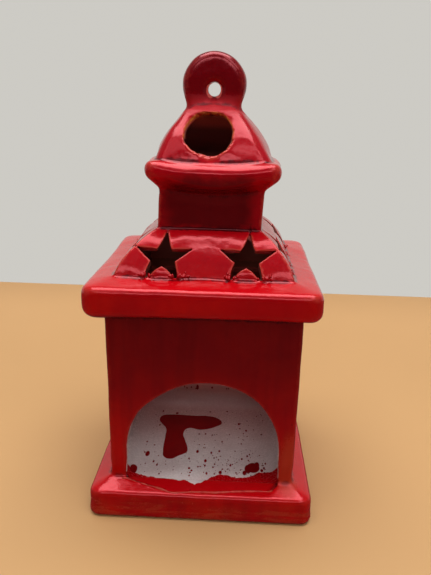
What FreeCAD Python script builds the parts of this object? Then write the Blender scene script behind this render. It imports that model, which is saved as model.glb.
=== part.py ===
import FreeCAD
import Part
import Sketcher
import math
import os

# A square earthenware tealight lantern, shaped like a little tower with a chimney, a dome and
# a loop to hang it by. Its clay parts are formed one by one and luted together before firing.
# Millimetres, +Z up, origin in the middle of the foot, the arched doorway faces -Y.

SIZES = {
    "plinth_width": 100.0,
    "plinth_corner": 5.5,
    "plinth_edge_height": 12.6,
    "plinth_height": 16.0,
    "plinth_upper_round": 3.0,
    "plinth_lower_round": 2.6,
    "floor_height": 12.0,
    "floor_thickness": 6.0,
    "floor_ledge": 6.0,
    "body_width": 82.6,
    "body_corner": 1.6,
    "wall_thickness": 4.6,
    "wall_height": 78.2,
    "arch_pier": 7.0,
    "arch_jamb": 13.6,
    "arch_round": 1.2,
    "sill_height": 13.6,
    "sill_sweep_left": 19.0,
    "sill_sweep_right": 4.0,
    "eaves_width": 98.2,
    "eaves_corner": 6.0,
    "eaves_edge_height": 12.2,
    "eaves_rise": 2.1,
    "eaves_upper_round": 3.0,
    "eaves_lower_round": 4.4,
    "shoulder_width": 75.0,
    "shoulder_height": 18.0,
    "shoulder_bulge": 2.4,
    "shoulder_thickness": 5.0,
    "star_radius": 12.2,
    "star_waist": 5.2,
    "star_hip_gap": 1.2,
    "star_rise": 10.2,
    "neck_width": 44.6,
    "neck_corner": 1.4,
    "neck_height": 16.8,
    "neck_thickness": 4.0,
    "cornice_width": 56.8,
    "cornice_corner": 4.6,
    "cornice_flare": 5.4,
    "cornice_band": 6.2,
    "cornice_upper_round": 3.2,
    "cornice_lower_round": 4.6,
    "dome_width": 48.4,
    "dome_middle_width": 39.4,
    "dome_middle_height": 9.9,
    "dome_upper_width": 30.6,
    "dome_upper_height": 16.5,
    "dome_shoulder_width": 24.0,
    "dome_shoulder_height": 20.7,
    "dome_crown_width": 9.0,
    "dome_height": 23.5,
    "dome_hip_share": 0.1,
    "dome_thickness": 4.0,
    "vent_diameter": 20.7,
    "vent_rise": 11.1,
    "vent_setback": 4.5,
    "vent_tilt": 18.0,
    "loop_diameter": 28.0,
    "loop_rise": 30.9,
    "loop_thickness": 10.0,
    "loop_round": 3.8,
    "loop_waist_radius": 8.0,
    "loop_waist_dip": 26.0,
    "loop_waist_sweep": 22.0,
    "loop_hole_diameter": 7.0,
    "loop_hole_drop": 2.0,
    "loop_hole_round": 2.2,
}

# Turn of each wall and shoulder panel about the upright axis, in degrees from the front.
SIDES = {"front": 0, "right": 90, "back": 180, "left": 270}

# Tool overshoot, so that a cut passes clear through the face that it opens.
OVERSHOOT = 2.0


class Size:
    """A measure, kept both as a number and as the spreadsheet expression that gives it."""

    def __init__(self, number, text):
        self.number = number
        self.text = text

    def __add__(self, other):
        return Size(self.number + number(other), f"({self.text} + {text(other)})")

    def __sub__(self, other):
        return Size(self.number - number(other), f"({self.text} - {text(other)})")

    def __mul__(self, other):
        return Size(self.number * number(other), f"({self.text} * {text(other)})")

    def __truediv__(self, other):
        return Size(self.number / number(other), f"({self.text} / {text(other)})")

    def __neg__(self):
        return Size(-self.number, f"(0 - {self.text})")

    def root(self):
        return Size(math.sqrt(self.number), f"sqrt({self.text})")

    def cosine(self):
        return Size(math.cos(math.radians(self.number)), f"cos({self.text} * 1 deg)")

    def sine(self):
        return Size(math.sin(math.radians(self.number)), f"sin({self.text} * 1 deg)")

    def at_most(self, other):
        return Size(min(self.number, other.number), f"min({self.text}; {other.text})")


def number(value):
    return value.number if isinstance(value, Size) else float(value)


def text(value):
    return value.text if isinstance(value, Size) else repr(float(value))


def angle_of(rise, run):
    return Size(
        math.degrees(math.atan2(rise.number, run.number)),
        f"atan2({rise.text}; {run.text}) / 1 deg",
    )


doc = FreeCAD.newDocument("tealight_lantern")
sheet = doc.addObject("Spreadsheet::Sheet", "sizes")
for row, (alias, millimetres) in enumerate(SIZES.items(), start=1):
    sheet.set(f"A{row}", alias)
    sheet.set(f"B{row}", str(millimetres))
    sheet.setAlias(f"B{row}", alias)
doc.recompute()


def size(alias):
    return Size(SIZES[alias], f"sizes.{alias}")


def new_body(name):
    body = doc.addObject("PartDesign::Body", name)
    body.Label = name
    return body


def new_sketch(body, name, plane, level):
    sketch = body.newObject("Sketcher::SketchObject", name)
    support = next(item for item in body.Origin.OriginFeatures if item.Role == plane)
    sketch.AttachmentSupport = [(support, "")]
    sketch.MapMode = "FlatFace"
    if level is not None:
        sketch.setExpression("AttachmentOffset.Base.z", level.text)
    return sketch


def tilt_sketch(sketch, height, reach, tilt):
    """Leans an upright sketch back, about the level line at a height and reach from the axis."""
    sketch.AttachmentOffset = FreeCAD.Placement(
        FreeCAD.Vector(0, height.number, reach.number),
        FreeCAD.Rotation(FreeCAD.Vector(-1, 0, 0), tilt.number),
    )
    sketch.setExpression("AttachmentOffset.Base.y", height.text)
    sketch.setExpression("AttachmentOffset.Base.z", reach.text)
    sketch.setExpression("AttachmentOffset.Rotation.Angle", tilt.text)


def hold(sketch, kind, members, value):
    """Adds a dimension to a sketch and ties it to the spreadsheet."""
    index = sketch.addConstraint(Sketcher.Constraint(kind, *members, value.number))
    sketch.setExpression(f"Constraints[{index}]", value.text)


def arc_between(start, end, radius, major):
    """Gives the arc that turns anticlockwise from start to end."""
    chord = end - start
    half = chord.Length / 2
    reach = math.sqrt(max(radius * radius - half * half, 0))
    left = FreeCAD.Vector(-chord.y, chord.x, 0).normalize()
    centre = (start + end) / 2 + left * (-reach if major else reach)
    first = math.atan2(start.y - centre.y, start.x - centre.x)
    last = math.atan2(end.y - centre.y, end.x - centre.x)
    return Part.ArcOfCircle(Part.Circle(centre, FreeCAD.Vector(0, 0, 1), radius), first, last)


def draw_outline(sketch, corners):
    """Draws a closed outline anticlockwise and fixes every corner.

    A corner is (x, y) where a straight edge leaves it, or (x, y, form, radius) where an arc
    does. The form is "round" for an arc that bulges outward, "over" for one of more than half
    a turn, and "hollow" for one that curves inward.
    """
    points = [FreeCAD.Vector(corner[0].number, corner[1].number, 0) for corner in corners]
    ends = []
    for place, corner in enumerate(corners):
        start = points[place]
        end = points[(place + 1) % len(points)]
        if len(corner) == 2:
            edge = sketch.addGeometry(Part.LineSegment(start, end), False)
            ends.append((edge, 1, 2))
            continue
        form, radius = corner[2], corner[3]
        if form == "hollow":
            edge = sketch.addGeometry(arc_between(end, start, radius.number, False), False)
            ends.append((edge, 2, 1))
        else:
            edge = sketch.addGeometry(arc_between(start, end, radius.number, form == "over"), False)
            ends.append((edge, 1, 2))
    for place, (edge, first, last) in enumerate(ends):
        following, start, unused = ends[(place + 1) % len(ends)]
        sketch.addConstraint(Sketcher.Constraint("Coincident", edge, last, following, start))
    for corner, (edge, first, last) in zip(corners, ends):
        hold(sketch, "DistanceX", (-1, 1, edge, first), corner[0])
        hold(sketch, "DistanceY", (-1, 1, edge, first), corner[1])
        if len(corner) > 2:
            hold(sketch, "Radius", (edge,), corner[3])


def square(body, name, width, level=None, corner=None):
    """Draws a level square about the axis, with rounded corners where a radius is given."""
    sketch = new_sketch(body, name, "XY_Plane", level)
    half = width / 2
    if corner is None:
        draw_outline(sketch, [(-half, -half), (half, -half), (half, half), (-half, half)])
        return sketch
    flat = half - corner
    draw_outline(sketch, [
        (-flat, -half),
        (flat, -half, "round", corner),
        (half, -flat),
        (half, flat, "round", corner),
        (flat, half),
        (-flat, half, "round", corner),
        (-half, flat),
        (-half, -flat, "round", corner),
    ])
    return sketch


def circle(body, name, rise, diameter):
    """Draws a circle on the upright front plane of a body, at a height on its middle line."""
    sketch = new_sketch(body, name, "XZ_Plane", None)
    centre = FreeCAD.Vector(0, rise.number, 0)
    edge = sketch.addGeometry(
        Part.Circle(centre, FreeCAD.Vector(0, 0, 1), diameter.number / 2), False)
    sketch.addConstraint(Sketcher.Constraint("PointOnObject", edge, 3, -2))
    hold(sketch, "DistanceY", (-1, 1, edge, 3), rise)
    hold(sketch, "Diameter", (edge,), diameter)
    return sketch


def pad(body, name, sketch, length, both_ways=False):
    feature = body.newObject("PartDesign::Pad", name)
    feature.Profile = sketch
    feature.SideType = "Symmetric" if both_ways else "One side"
    feature.setExpression("Length", length.text)
    doc.recompute()
    return feature


def pocket(body, name, sketch, depth=None, both_ways=False):
    """Cuts a sketch into a body: to a depth against the sketch's facing, or clear through."""
    feature = body.newObject("PartDesign::Pocket", name)
    feature.Profile = sketch
    feature.SideType = "Symmetric" if both_ways else "One side"
    if depth is None:
        feature.Type = "ThroughAll"
    else:
        feature.setExpression("Length", depth.text)
    doc.recompute()
    return feature


def loft(body, name, sections, kind="PartDesign::AdditiveLoft", straight=False):
    feature = body.newObject(kind, name)
    feature.Profile = sections[0]
    feature.Sections = sections[1:]
    feature.Ruled = straight
    doc.recompute()
    return feature


def fillet(body, name, radius, chosen):
    """Rounds those edges of a body's newest feature that the chosen test picks."""
    base = body.Tip
    names = [f"Edge{place}" for place, edge in enumerate(base.Shape.Edges, start=1) if chosen(edge)]
    feature = body.newObject("PartDesign::Fillet", name)
    feature.Base = (base, names)
    feature.setExpression("Radius", radius.text)
    doc.recompute()
    return feature


def lies_at(level):
    """Gives a test for edges that lie wholly at one height."""
    def test(edge):
        return all(abs(corner.Point.z - level.number) < 1e-4 for corner in edge.Vertexes)
    return test


plinth_width = size("plinth_width")
plinth_height = size("plinth_height")
plinth_edge_height = size("plinth_edge_height")
floor_height = size("floor_height")
floor_thickness = size("floor_thickness")
floor_bottom = floor_height - floor_thickness
body_width = size("body_width")
body_corner = size("body_corner")
wall_height = size("wall_height")
chamber_width = body_width - size("wall_thickness") * 2
arch_width = body_width - size("arch_pier") * 2
eaves_width = size("eaves_width")
eaves_corner = size("eaves_corner")
eaves_edge_height = size("eaves_edge_height")
shoulder_width = size("shoulder_width")
shoulder_height = size("shoulder_height")
shoulder_bulge = size("shoulder_bulge")
neck_width = size("neck_width")
neck_corner = size("neck_corner")
neck_height = size("neck_height")
flue_width = neck_width - size("neck_thickness") * 2
cornice_width = size("cornice_width")
cornice_corner = size("cornice_corner")
cornice_band = size("cornice_band")
dome_width = size("dome_width")
dome_height = size("dome_height")
dome_thickness = size("dome_thickness")
loop_diameter = size("loop_diameter")

# Levels of the joints, from the foot up.
ground = plinth_height * 0
eaves_foot = plinth_height + wall_height
eaves_edge_top = eaves_foot + eaves_edge_height
shoulder_foot = eaves_edge_top + size("eaves_rise")
neck_foot = shoulder_foot + shoulder_height
cornice_foot = neck_foot + neck_height
cornice_flare_top = cornice_foot + size("cornice_flare")
dome_foot = cornice_flare_top + cornice_band
loop_centre = dome_foot + size("loop_rise")


def base_plinth():
    body = new_body("base_plinth")
    corner = size("plinth_corner")
    edge = square(body, "edge_outline", plinth_width, ground, corner)
    pad(body, "edge", edge, plinth_edge_height)
    slope_foot = square(body, "slope_foot", plinth_width, plinth_edge_height, corner)
    slope_top = square(body, "slope_top", body_width, plinth_height, body_corner)
    loft(body, "slope", [slope_foot, slope_top], straight=True)
    upper_round = size("plinth_upper_round").at_most(plinth_edge_height * 0.5)
    fillet(body, "upper_round", upper_round, lies_at(plinth_edge_height))
    lower_round = size("plinth_lower_round").at_most(plinth_edge_height * 0.4)
    fillet(body, "lower_round", lower_round, lies_at(ground))
    seat = square(body, "floor_seat_outline", chamber_width, plinth_height)
    pocket(body, "floor_seat", seat, plinth_height - floor_bottom)
    opening = square(body, "underside_outline", chamber_width - size("floor_ledge") * 2, plinth_height)
    pocket(body, "underside", opening)
    sill = new_sketch(body, "sill_outline", "XY_Plane", plinth_height)
    front = plinth_width / 2 + OVERSHOOT
    brink = plinth_width / 2 - upper_round
    half_arch = arch_width / 2
    left = size("sill_sweep_left") - half_arch
    right = half_arch - size("sill_sweep_right")
    face = body_width / 2
    inside = chamber_width / 2 - OVERSHOOT
    draw_outline(sill, [
        (left, -front),
        (right, -front),
        (right, -brink),
        (half_arch, -face),
        (half_arch, -inside),
        (-half_arch, -inside),
        (-half_arch, -face),
        (left, -brink),
    ])
    pocket(body, "sill", sill, plinth_height - size("sill_height"))
    return body


def chamber_floor():
    body = new_body("chamber_floor")
    slab = square(body, "slab_outline", chamber_width, floor_bottom)
    pad(body, "slab", slab, floor_thickness)
    return body


def wall(side):
    """One side of the chamber, mitred to its neighbours at the corners."""
    body = new_body(f"{side}_wall")
    half = body_width / 2
    flat = half - body_corner
    mitre = flat + body_corner * math.sqrt(0.5)
    inside = chamber_width / 2
    plan = new_sketch(body, "plan", "XY_Plane", plinth_height)
    draw_outline(plan, [
        (-flat, -half),
        (flat, -half, "round", body_corner),
        (mitre, -mitre),
        (inside, -inside),
        (-inside, -inside),
        (-mitre, -mitre, "round", body_corner),
    ])
    pad(body, "slab", plan, wall_height)
    if side == "front":
        cut_arch(body)
    body.Placement.Rotation = FreeCAD.Rotation(FreeCAD.Vector(0, 0, 1), SIDES[side])
    return body


def cut_arch(body):
    half_arch = arch_width / 2
    spring = plinth_height + size("arch_jamb")
    arch = new_sketch(body, "arch_outline", "XZ_Plane", None)
    draw_outline(arch, [
        (-half_arch, plinth_height - OVERSHOOT),
        (half_arch, plinth_height - OVERSHOOT),
        (half_arch, spring, "round", half_arch),
        (half_arch * 0, spring + half_arch, "round", half_arch),
        (-half_arch, spring),
    ])
    pocket(body, "arch", arch, both_ways=True)

    def rims_arch(edge):
        middle = edge.CenterOfMass
        upright = abs(edge.Vertexes[0].Point.y - edge.Vertexes[-1].Point.y) < 1e-4
        within = abs(middle.x) < half_arch.number + 1e-3
        below = plinth_height.number + 1e-3 < middle.z < (spring + half_arch).number + 1e-3
        return upright and within and below
    arch_round = size("arch_round").at_most(size("wall_thickness") * 0.4)
    fillet(body, "arch_round", arch_round, rims_arch)


def eaves_slab():
    body = new_body("eaves_slab")
    edge = square(body, "edge_outline", eaves_width, eaves_foot, eaves_corner)
    pad(body, "edge", edge, eaves_edge_height)
    slope_foot = square(body, "slope_foot", eaves_width, eaves_edge_top, eaves_corner)
    slope_top = square(body, "slope_top", shoulder_width, shoulder_foot, body_corner)
    loft(body, "slope", [slope_foot, slope_top], straight=True)
    upper_round = size("eaves_upper_round").at_most(eaves_edge_height * 0.4)
    fillet(body, "upper_round", upper_round, lies_at(eaves_edge_top))
    lower_round = size("eaves_lower_round").at_most(eaves_edge_height * 0.5)
    fillet(body, "lower_round", lower_round, lies_at(eaves_foot))
    opening = square(body, "flue_outline", shoulder_width - size("shoulder_thickness") * 2, shoulder_foot)
    pocket(body, "flue", opening)
    return body


def shoulder(side):
    """One bulging panel between eaves and neck, mitred at the hips, with two cut stars.

    The outer arm of each star ends a small gap short of the hip, at the height of the arm.
    """
    body = new_body(f"shoulder_{side}")
    foot = shoulder_width / 2
    top = neck_width / 2
    lean = foot - top
    slope = (lean * lean + shoulder_height * shoulder_height).root()
    radius = slope * slope / (shoulder_bulge * 8) + shoulder_bulge / 2
    profile = new_sketch(body, "profile", "YZ_Plane", None)
    draw_outline(profile, [
        (-foot, shoulder_foot),
        (size("shoulder_thickness") - foot, shoulder_foot, "hollow", radius),
        (-flue_width / 2, neck_foot),
        (-top, neck_foot, "round", radius),
    ])
    pad(body, "panel", profile, shoulder_width + OVERSHOOT, both_ways=True)
    reach = shoulder_width
    for hand, name in ((-1, "left_mitre"), (1, "right_mitre")):
        waste = new_sketch(body, f"{name}_outline", "XY_Plane", neck_foot)
        corners = [(ground, ground), (reach * hand, -reach), (reach * hand, ground)]
        draw_outline(waste, corners if hand > 0 else corners[::-1])
        pocket(body, name, waste)
    arm = math.radians(18)
    arm_rise = size("star_rise") + size("star_radius") * math.sin(arm)
    hip = foot - lean * arm_rise / slope + shoulder_bulge * shoulder_height / slope
    across = hip - size("star_hip_gap") - size("star_radius") * math.cos(arm)
    for hand, name in ((-1, "left_star"), (1, "right_star")):
        outline = new_sketch(body, f"{name}_outline", "XZ_Plane", None)
        tilt_sketch(outline, shoulder_foot, foot, angle_of(lean, shoulder_height))
        draw_outline(outline, star_corners(across * hand, size("star_rise")))
        pocket(body, name, outline, both_ways=True)
    body.Placement.Rotation = FreeCAD.Rotation(FreeCAD.Vector(0, 0, 1), SIDES[side])
    return body


def star_corners(across, rise):
    """Corners of a five-pointed star that stands on two of its points."""
    corners = []
    for step in range(10):
        radius = size("star_radius") if step % 2 == 0 else size("star_waist")
        turn = math.radians(90 + 36 * step)
        corners.append((across + radius * math.cos(turn), rise + radius * math.sin(turn)))
    return corners


def chimney_neck():
    body = new_body("chimney_neck")
    pad(body, "tube", square(body, "tube_outline", neck_width, neck_foot, neck_corner), neck_height)
    pocket(body, "flue", square(body, "flue_outline", flue_width, cornice_foot))
    return body


def cap_cornice():
    body = new_body("cap_cornice")
    flare_foot = square(body, "flare_foot", neck_width, cornice_foot, neck_corner)
    flare_top = square(body, "flare_top", cornice_width, cornice_flare_top, cornice_corner)
    loft(body, "flare", [flare_foot, flare_top], straight=True)
    band = square(body, "band_outline", cornice_width, cornice_flare_top, cornice_corner)
    pad(body, "band", band, cornice_band)
    lower_round = size("cornice_lower_round").at_most(cornice_band * 0.75)
    fillet(body, "lower_round", lower_round, lies_at(cornice_flare_top))
    upper_round = size("cornice_upper_round").at_most(cornice_band * 0.55)
    fillet(body, "upper_round", upper_round, lies_at(dome_foot))
    pocket(body, "flue", square(body, "flue_outline", flue_width, dome_foot))
    return body


def dome_sections(body, name, inset=None):
    """Level sections of the dome: its outside, or its hollow where an inset is given."""
    spread = dome_width / dome_width
    stretch = spread
    if inset is not None:
        spread = (dome_width - inset * 2) / dome_width
        stretch = (dome_height - inset) / dome_height
    stations = [
        (ground, dome_width),
        (size("dome_middle_height"), size("dome_middle_width")),
        (size("dome_upper_height"), size("dome_upper_width")),
        (size("dome_shoulder_height"), size("dome_shoulder_width")),
        (dome_height, size("dome_crown_width")),
    ]
    sections = []
    for place, (rise, width) in enumerate(stations):
        corner = width * spread * size("dome_hip_share")
        level = dome_foot + rise * stretch
        sections.append(square(body, f"{name}_{place}", width * spread, level, corner))
    return sections


def cap_dome():
    body = new_body("cap_dome")
    loft(body, "shell", dome_sections(body, "shell_section"))
    hollow = dome_sections(body, "hollow_section", dome_thickness)
    loft(body, "hollow", hollow, "PartDesign::SubtractiveLoft")
    vent = circle(body, "vent_outline", ground, size("vent_diameter"))
    face = dome_width / 2 - size("vent_setback")
    tilt_sketch(vent, dome_foot + size("vent_rise"), face, size("vent_tilt"))
    # Half of the bore clears the front of the dome, and half ends short of the axis.
    bore = face * 1.6
    pocket(body, "vent", vent, bore, both_ways=True)
    return body


def hanging_loop():
    body = new_body("hanging_loop")
    radius = loop_diameter / 2
    waist = size("loop_waist_radius")
    dip = size("loop_waist_dip")
    sweep = size("loop_waist_sweep")
    rim_x = radius * dip.cosine()
    rim_z = loop_centre - radius * dip.sine()
    foot_x = (radius + waist) * dip.cosine() - waist * sweep.cosine()
    foot_z = loop_centre - (radius + waist) * dip.sine() - waist * sweep.sine()
    outline = new_sketch(body, "outline", "XZ_Plane", None)
    draw_outline(outline, [
        (-foot_x, foot_z),
        (foot_x, foot_z, "hollow", waist),
        (rim_x, rim_z, "over", radius),
        (-rim_x, rim_z, "hollow", waist),
    ])
    thickness = size("loop_thickness")
    pad(body, "disc", outline, thickness, both_ways=True)

    def rims_disc(edge):
        level = all(abs(corner.Point.z - foot_z.number) < 1e-4 for corner in edge.Vertexes)
        across = abs(edge.Vertexes[0].Point.y - edge.Vertexes[-1].Point.y) > 1e-4
        return not level and not across
    fillet(body, "rim_round", size("loop_round").at_most(thickness * 0.42), rims_disc)
    hole = circle(body, "hole_outline", loop_centre - size("loop_hole_drop"), size("loop_hole_diameter"))
    pocket(body, "hole", hole, both_ways=True)

    def rims_hole(edge):
        round_edge = isinstance(edge.Curve, Part.Circle)
        same = round_edge and abs(edge.Curve.Radius * 2 - SIZES["loop_hole_diameter"]) < 1e-4
        return same and abs(abs(edge.CenterOfMass.y) - thickness.number / 2) < 1e-4
    fillet(body, "hole_round", size("loop_hole_round").at_most(thickness * 0.3), rims_hole)
    saddle = dome_sections(body, "saddle_section")
    loft(body, "saddle", saddle, "PartDesign::SubtractiveLoft")
    return body


pieces = [base_plinth(), chamber_floor()]
pieces += [wall(side) for side in SIDES]
pieces += [eaves_slab()]
pieces += [shoulder(side) for side in SIDES]
pieces += [chimney_neck(), cap_cornice(), cap_dome(), hanging_loop()]
doc.recompute()

for item in doc.Objects:
    if "Invalid" in item.State or "Error" in item.State:
        raise RuntimeError(f"{item.Label} did not build: {item.State}")
os.makedirs("parts", exist_ok=True)
for piece in pieces:
    if piece.Shape.isNull() or not piece.Shape.isValid() or len(piece.Shape.Solids) != 1:
        raise RuntimeError(f"{piece.Label} is not one sound solid")
    piece.Shape.exportStep(f"parts/{piece.Label}.step")
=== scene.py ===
import math
import random
from contextlib import contextmanager

import bmesh
import bpy
import numpy as np
from mathutils import Matrix, Vector


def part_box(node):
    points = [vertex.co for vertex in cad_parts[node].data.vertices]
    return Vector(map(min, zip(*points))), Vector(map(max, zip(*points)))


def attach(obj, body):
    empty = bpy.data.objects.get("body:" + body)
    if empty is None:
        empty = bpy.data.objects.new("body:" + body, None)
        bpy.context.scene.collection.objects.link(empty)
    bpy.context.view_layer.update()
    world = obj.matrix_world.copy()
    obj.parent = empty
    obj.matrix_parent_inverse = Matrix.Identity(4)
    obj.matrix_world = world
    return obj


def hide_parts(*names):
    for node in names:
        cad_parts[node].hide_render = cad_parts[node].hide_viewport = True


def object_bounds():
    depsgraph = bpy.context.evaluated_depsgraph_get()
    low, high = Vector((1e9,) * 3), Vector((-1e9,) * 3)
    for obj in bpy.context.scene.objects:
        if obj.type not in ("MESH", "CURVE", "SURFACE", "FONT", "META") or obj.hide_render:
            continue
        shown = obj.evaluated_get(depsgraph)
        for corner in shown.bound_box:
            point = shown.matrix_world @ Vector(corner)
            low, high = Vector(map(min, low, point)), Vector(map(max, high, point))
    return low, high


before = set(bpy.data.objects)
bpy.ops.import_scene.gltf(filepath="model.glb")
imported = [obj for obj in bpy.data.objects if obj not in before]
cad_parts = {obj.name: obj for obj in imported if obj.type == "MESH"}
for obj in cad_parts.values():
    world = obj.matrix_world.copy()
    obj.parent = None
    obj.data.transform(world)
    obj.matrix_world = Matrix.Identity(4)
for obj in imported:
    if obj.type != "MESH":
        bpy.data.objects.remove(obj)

# A square ceramic tealight lantern in red glaze, white inside. The clay parts are luted and
# fired into one, so a glazed skin is drawn over neighbouring parts together and then cut at
# the joints, a piece for each part.

CAD_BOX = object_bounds()
MM = 0.001

CAMERA_PLACE = Vector((12.02, -262.24, 174.13)) * MM
CAMERA_YAW = math.radians(-1.97)
CAMERA_PITCH = math.radians(-16.99)
CAMERA_ROLL = math.radians(1.5)
FOCAL_PIXELS = 571.47
IMAGE_HEIGHT_PIXELS = 575
SENSOR = 36.0

SIDE_TURNS = {"front": 0, "right": 90, "back": 180, "left": 270}


def foot(node):
    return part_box(node)[0].z


def head(node):
    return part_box(node)[1].z


def turned(side, point):
    """A point or a way on the front, carried round to another side."""
    return Matrix.Rotation(math.radians(SIDE_TURNS[side]), 3, "Z") @ Vector(point)


def in_mm(numbers):
    return tuple(number * MM for number in numbers)


BODY_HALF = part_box("right_wall")[1].x
CHAMBER_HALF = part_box("right_wall")[0].x
FLOOR_TOP = head("chamber_floor")
FLOOR_FOOT = foot("chamber_floor")
WALL_FOOT = foot("front_wall")
EAVES_FOOT = foot("eaves_slab")
SHOULDER_FOOT = foot("shoulder_front")
SHOULDER_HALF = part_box("shoulder_front")[1].x
NECK_FOOT = foot("chimney_neck")
NECK_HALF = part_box("chimney_neck")[1].x
CORNICE_FOOT = foot("cap_cornice")
DOME_FOOT = foot("cap_dome")
DOME_HEAD = head("cap_dome")
HOLE_LEVEL = 183.8 * MM
VENT_PLACE = (-1.0 * MM, -20.5 * MM, DOME_FOOT + 11.2 * MM)
VENT_BORE = (0, -19.7 * MM, DOME_FOOT + 11.1 * MM)
VENT_TILT = math.radians(18)
VENT_WAY = (0, -math.cos(VENT_TILT), math.sin(VENT_TILT))
VENT_RADIUS = 10.35 * MM
LOOP_JOINT = 177.5 * MM

# Each storey: the level its skin is cut at above, its clay parts, the grain of its skin in
# millimetres, how many times the skin is smoothed, and how strongly away from the loop's joint.
STOREYS = [
    (WALL_FOOT + 1.6 * MM, ["base_plinth"], 0.6, 4, 1.0),
    (EAVES_FOOT - 2.1 * MM, [side + "_wall" for side in SIDE_TURNS], 0.6, 3, 1.0),
    (SHOULDER_FOOT + 1.0 * MM, ["eaves_slab"], 0.55, 8, 1.0),
    (NECK_FOOT + 1.4 * MM, ["shoulder_" + side for side in SIDE_TURNS], 0.32, 2, 1.0),
    (CORNICE_FOOT - 2.6 * MM, ["chimney_neck"], 0.55, 3, 1.0),
    (DOME_FOOT + 1.2 * MM, ["cap_cornice"], 0.45, 14, 1.0),
    (DOME_HEAD + 1.2 * MM, ["cap_dome"], 0.4, 40, 0.2),
    (CAD_BOX[1].z + 5.0 * MM, ["hanging_loop"], 0.36, 49, 0.3),
]
COARSE = 1.0
TRIM = 6 * MM


# Node helpers

def operator(operation):
    return lambda *values: reckon(operation, *values)


class Field:
    """What a socket puts out, to be reckoned with like a number or a vector."""

    __add__ = operator("ADD")
    __sub__ = operator("SUBTRACT")
    __mul__ = operator("MULTIPLY")
    __truediv__ = operator("DIVIDE")
    __lt__ = operator("LESS_THAN")
    __gt__ = operator("GREATER_THAN")
    __abs__ = operator("ABSOLUTE")

    def __init__(self, socket):
        self.socket = socket
        self.tree = socket.id_data

    def __rsub__(self, other):
        return reckon("SUBTRACT", other, self)


larger = operator("MAXIMUM")
smaller = operator("MINIMUM")
length = operator("LENGTH")
dot = operator("DOT_PRODUCT")


def socket_of(sockets, key):
    if isinstance(key, int):
        return sockets[key]
    return next(s for s in sockets if s.name == key and not s.is_unavailable)


def feed(node, key, value):
    """Sets an input of a node, given by name or place, to a value or to a field."""
    target = socket_of(node.inputs, key)
    if isinstance(value, Field):
        value.tree.links.new(value.socket, target)
    else:
        target.default_value = value


def add(tree, kind, inputs=None, **settings):
    made = tree.nodes.new(kind)
    for name, value in settings.items():
        setattr(made, name, value)
    for key, value in (inputs or {}).items():
        feed(made, key, value)
    return made


def out(node, key=0):
    return Field(socket_of(node.outputs, key))


def is_vector(value):
    return isinstance(value, tuple) or isinstance(value, Field) and value.socket.type == "VECTOR"


def reckon(operation, *values):
    """A maths node, or a vector maths node where one of the values is a vector."""
    tree = next(value.tree for value in values if isinstance(value, Field))
    kind = "ShaderNodeVectorMath" if any(map(is_vector, values)) else "ShaderNodeMath"
    node = add(tree, kind, dict(enumerate(values)), operation=operation)
    return out(node, 1 if operation in ("DOT_PRODUCT", "LENGTH") else 0)


def scaled(vector, factor):
    return out(add(factor.tree, "ShaderNodeVectorMath", {0: vector, 3: factor}, operation="SCALE"))


def axes_of(vector):
    node = add(vector.tree, "ShaderNodeSeparateXYZ", {0: vector})
    return [out(node, axis) for axis in "XYZ"]


def ramp(value, low, high, to_low=0.0, to_high=1.0, smooth=True):
    settings = {"Value": value, "From Min": low, "From Max": high, "To Min": to_low, "To Max": to_high}
    kind = "SMOOTHSTEP" if smooth else "LINEAR"
    return out(add(value.tree, "ShaderNodeMapRange", settings, interpolation_type=kind))


def blend(factor, first, second):
    return out(add(factor.tree, "ShaderNodeMix", {0: factor, 6: first, 7: second}, data_type="RGBA"), 2)


def noise(vector, scale, detail=2.0, roughness=0.5, distortion=0.0):
    settings = {"Vector": vector, "Scale": scale, "Detail": detail, "Roughness": roughness,
                "Distortion": distortion}
    return out(add(vector.tree, "ShaderNodeTexNoise", settings), "Fac")


def stretched(vector, scale):
    return out(add(vector.tree, "ShaderNodeMapping", {"Vector": vector, "Scale": scale}))


def object_place(tree):
    return out(add(tree, "ShaderNodeTexCoord"), "Object")


def attribute(tree, name):
    return out(add(tree, "ShaderNodeAttribute", attribute_name=name), "Fac")


def curve_through(value, spots):
    """A smooth curve through spots, each from nought to one both ways."""
    node = add(value.tree, "ShaderNodeFloatCurve", {"Value": value})
    line = node.mapping.curves[0]
    line.points[0].location = (0, spots[0][1])
    line.points[1].location = (1, spots[-1][1])
    for spot in spots:
        line.points.new(*spot)
    node.mapping.update()
    return out(node)


def new_tree(name, kind, inputs, outputs):
    """A tree with its named inputs as fields, and the node that its outputs go to."""
    tree = bpy.data.node_groups.new(name, kind)
    for way, sockets in (("INPUT", inputs), ("OUTPUT", outputs)):
        for socket_name, socket_kind in sockets.items():
            tree.interface.new_socket(name=socket_name, in_out=way, socket_type="NodeSocket" + socket_kind)
    start = tree.nodes.new("NodeGroupInput")
    given = {socket_name: out(start, socket_name) for socket_name in inputs}
    return tree, given, tree.nodes.new("NodeGroupOutput")


def new_effect(name, inputs, outputs):
    """A group of shader nodes, for use in several glazes."""
    return new_tree(name, "ShaderNodeTree", dict.fromkeys(inputs, "Float"), dict.fromkeys(outputs, "Float"))


def new_shaper(name, inputs):
    """A tree of geometry nodes that makes a glazed mesh."""
    inputs = {"Geometry": "Geometry", **inputs, "Glaze": "Material"}
    return new_tree(name, "GeometryNodeTree", inputs, {"Geometry": "Geometry"})


def end_shaper(given, ending, geometry):
    tree = geometry.tree
    smooth = add(tree, "GeometryNodeSetShadeSmooth", {"Geometry": geometry})
    real = add(tree, "GeometryNodeRealizeInstances", {"Geometry": out(smooth)})
    glazed = add(tree, "GeometryNodeSetMaterial", {"Geometry": out(real), "Material": given["Glaze"]})
    feed(ending, "Geometry", out(glazed))
    return tree


def end_effect(ending, values):
    for name, value in values.items():
        feed(ending, name, value)
    return ending.id_data


# Mesh helpers

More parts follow.
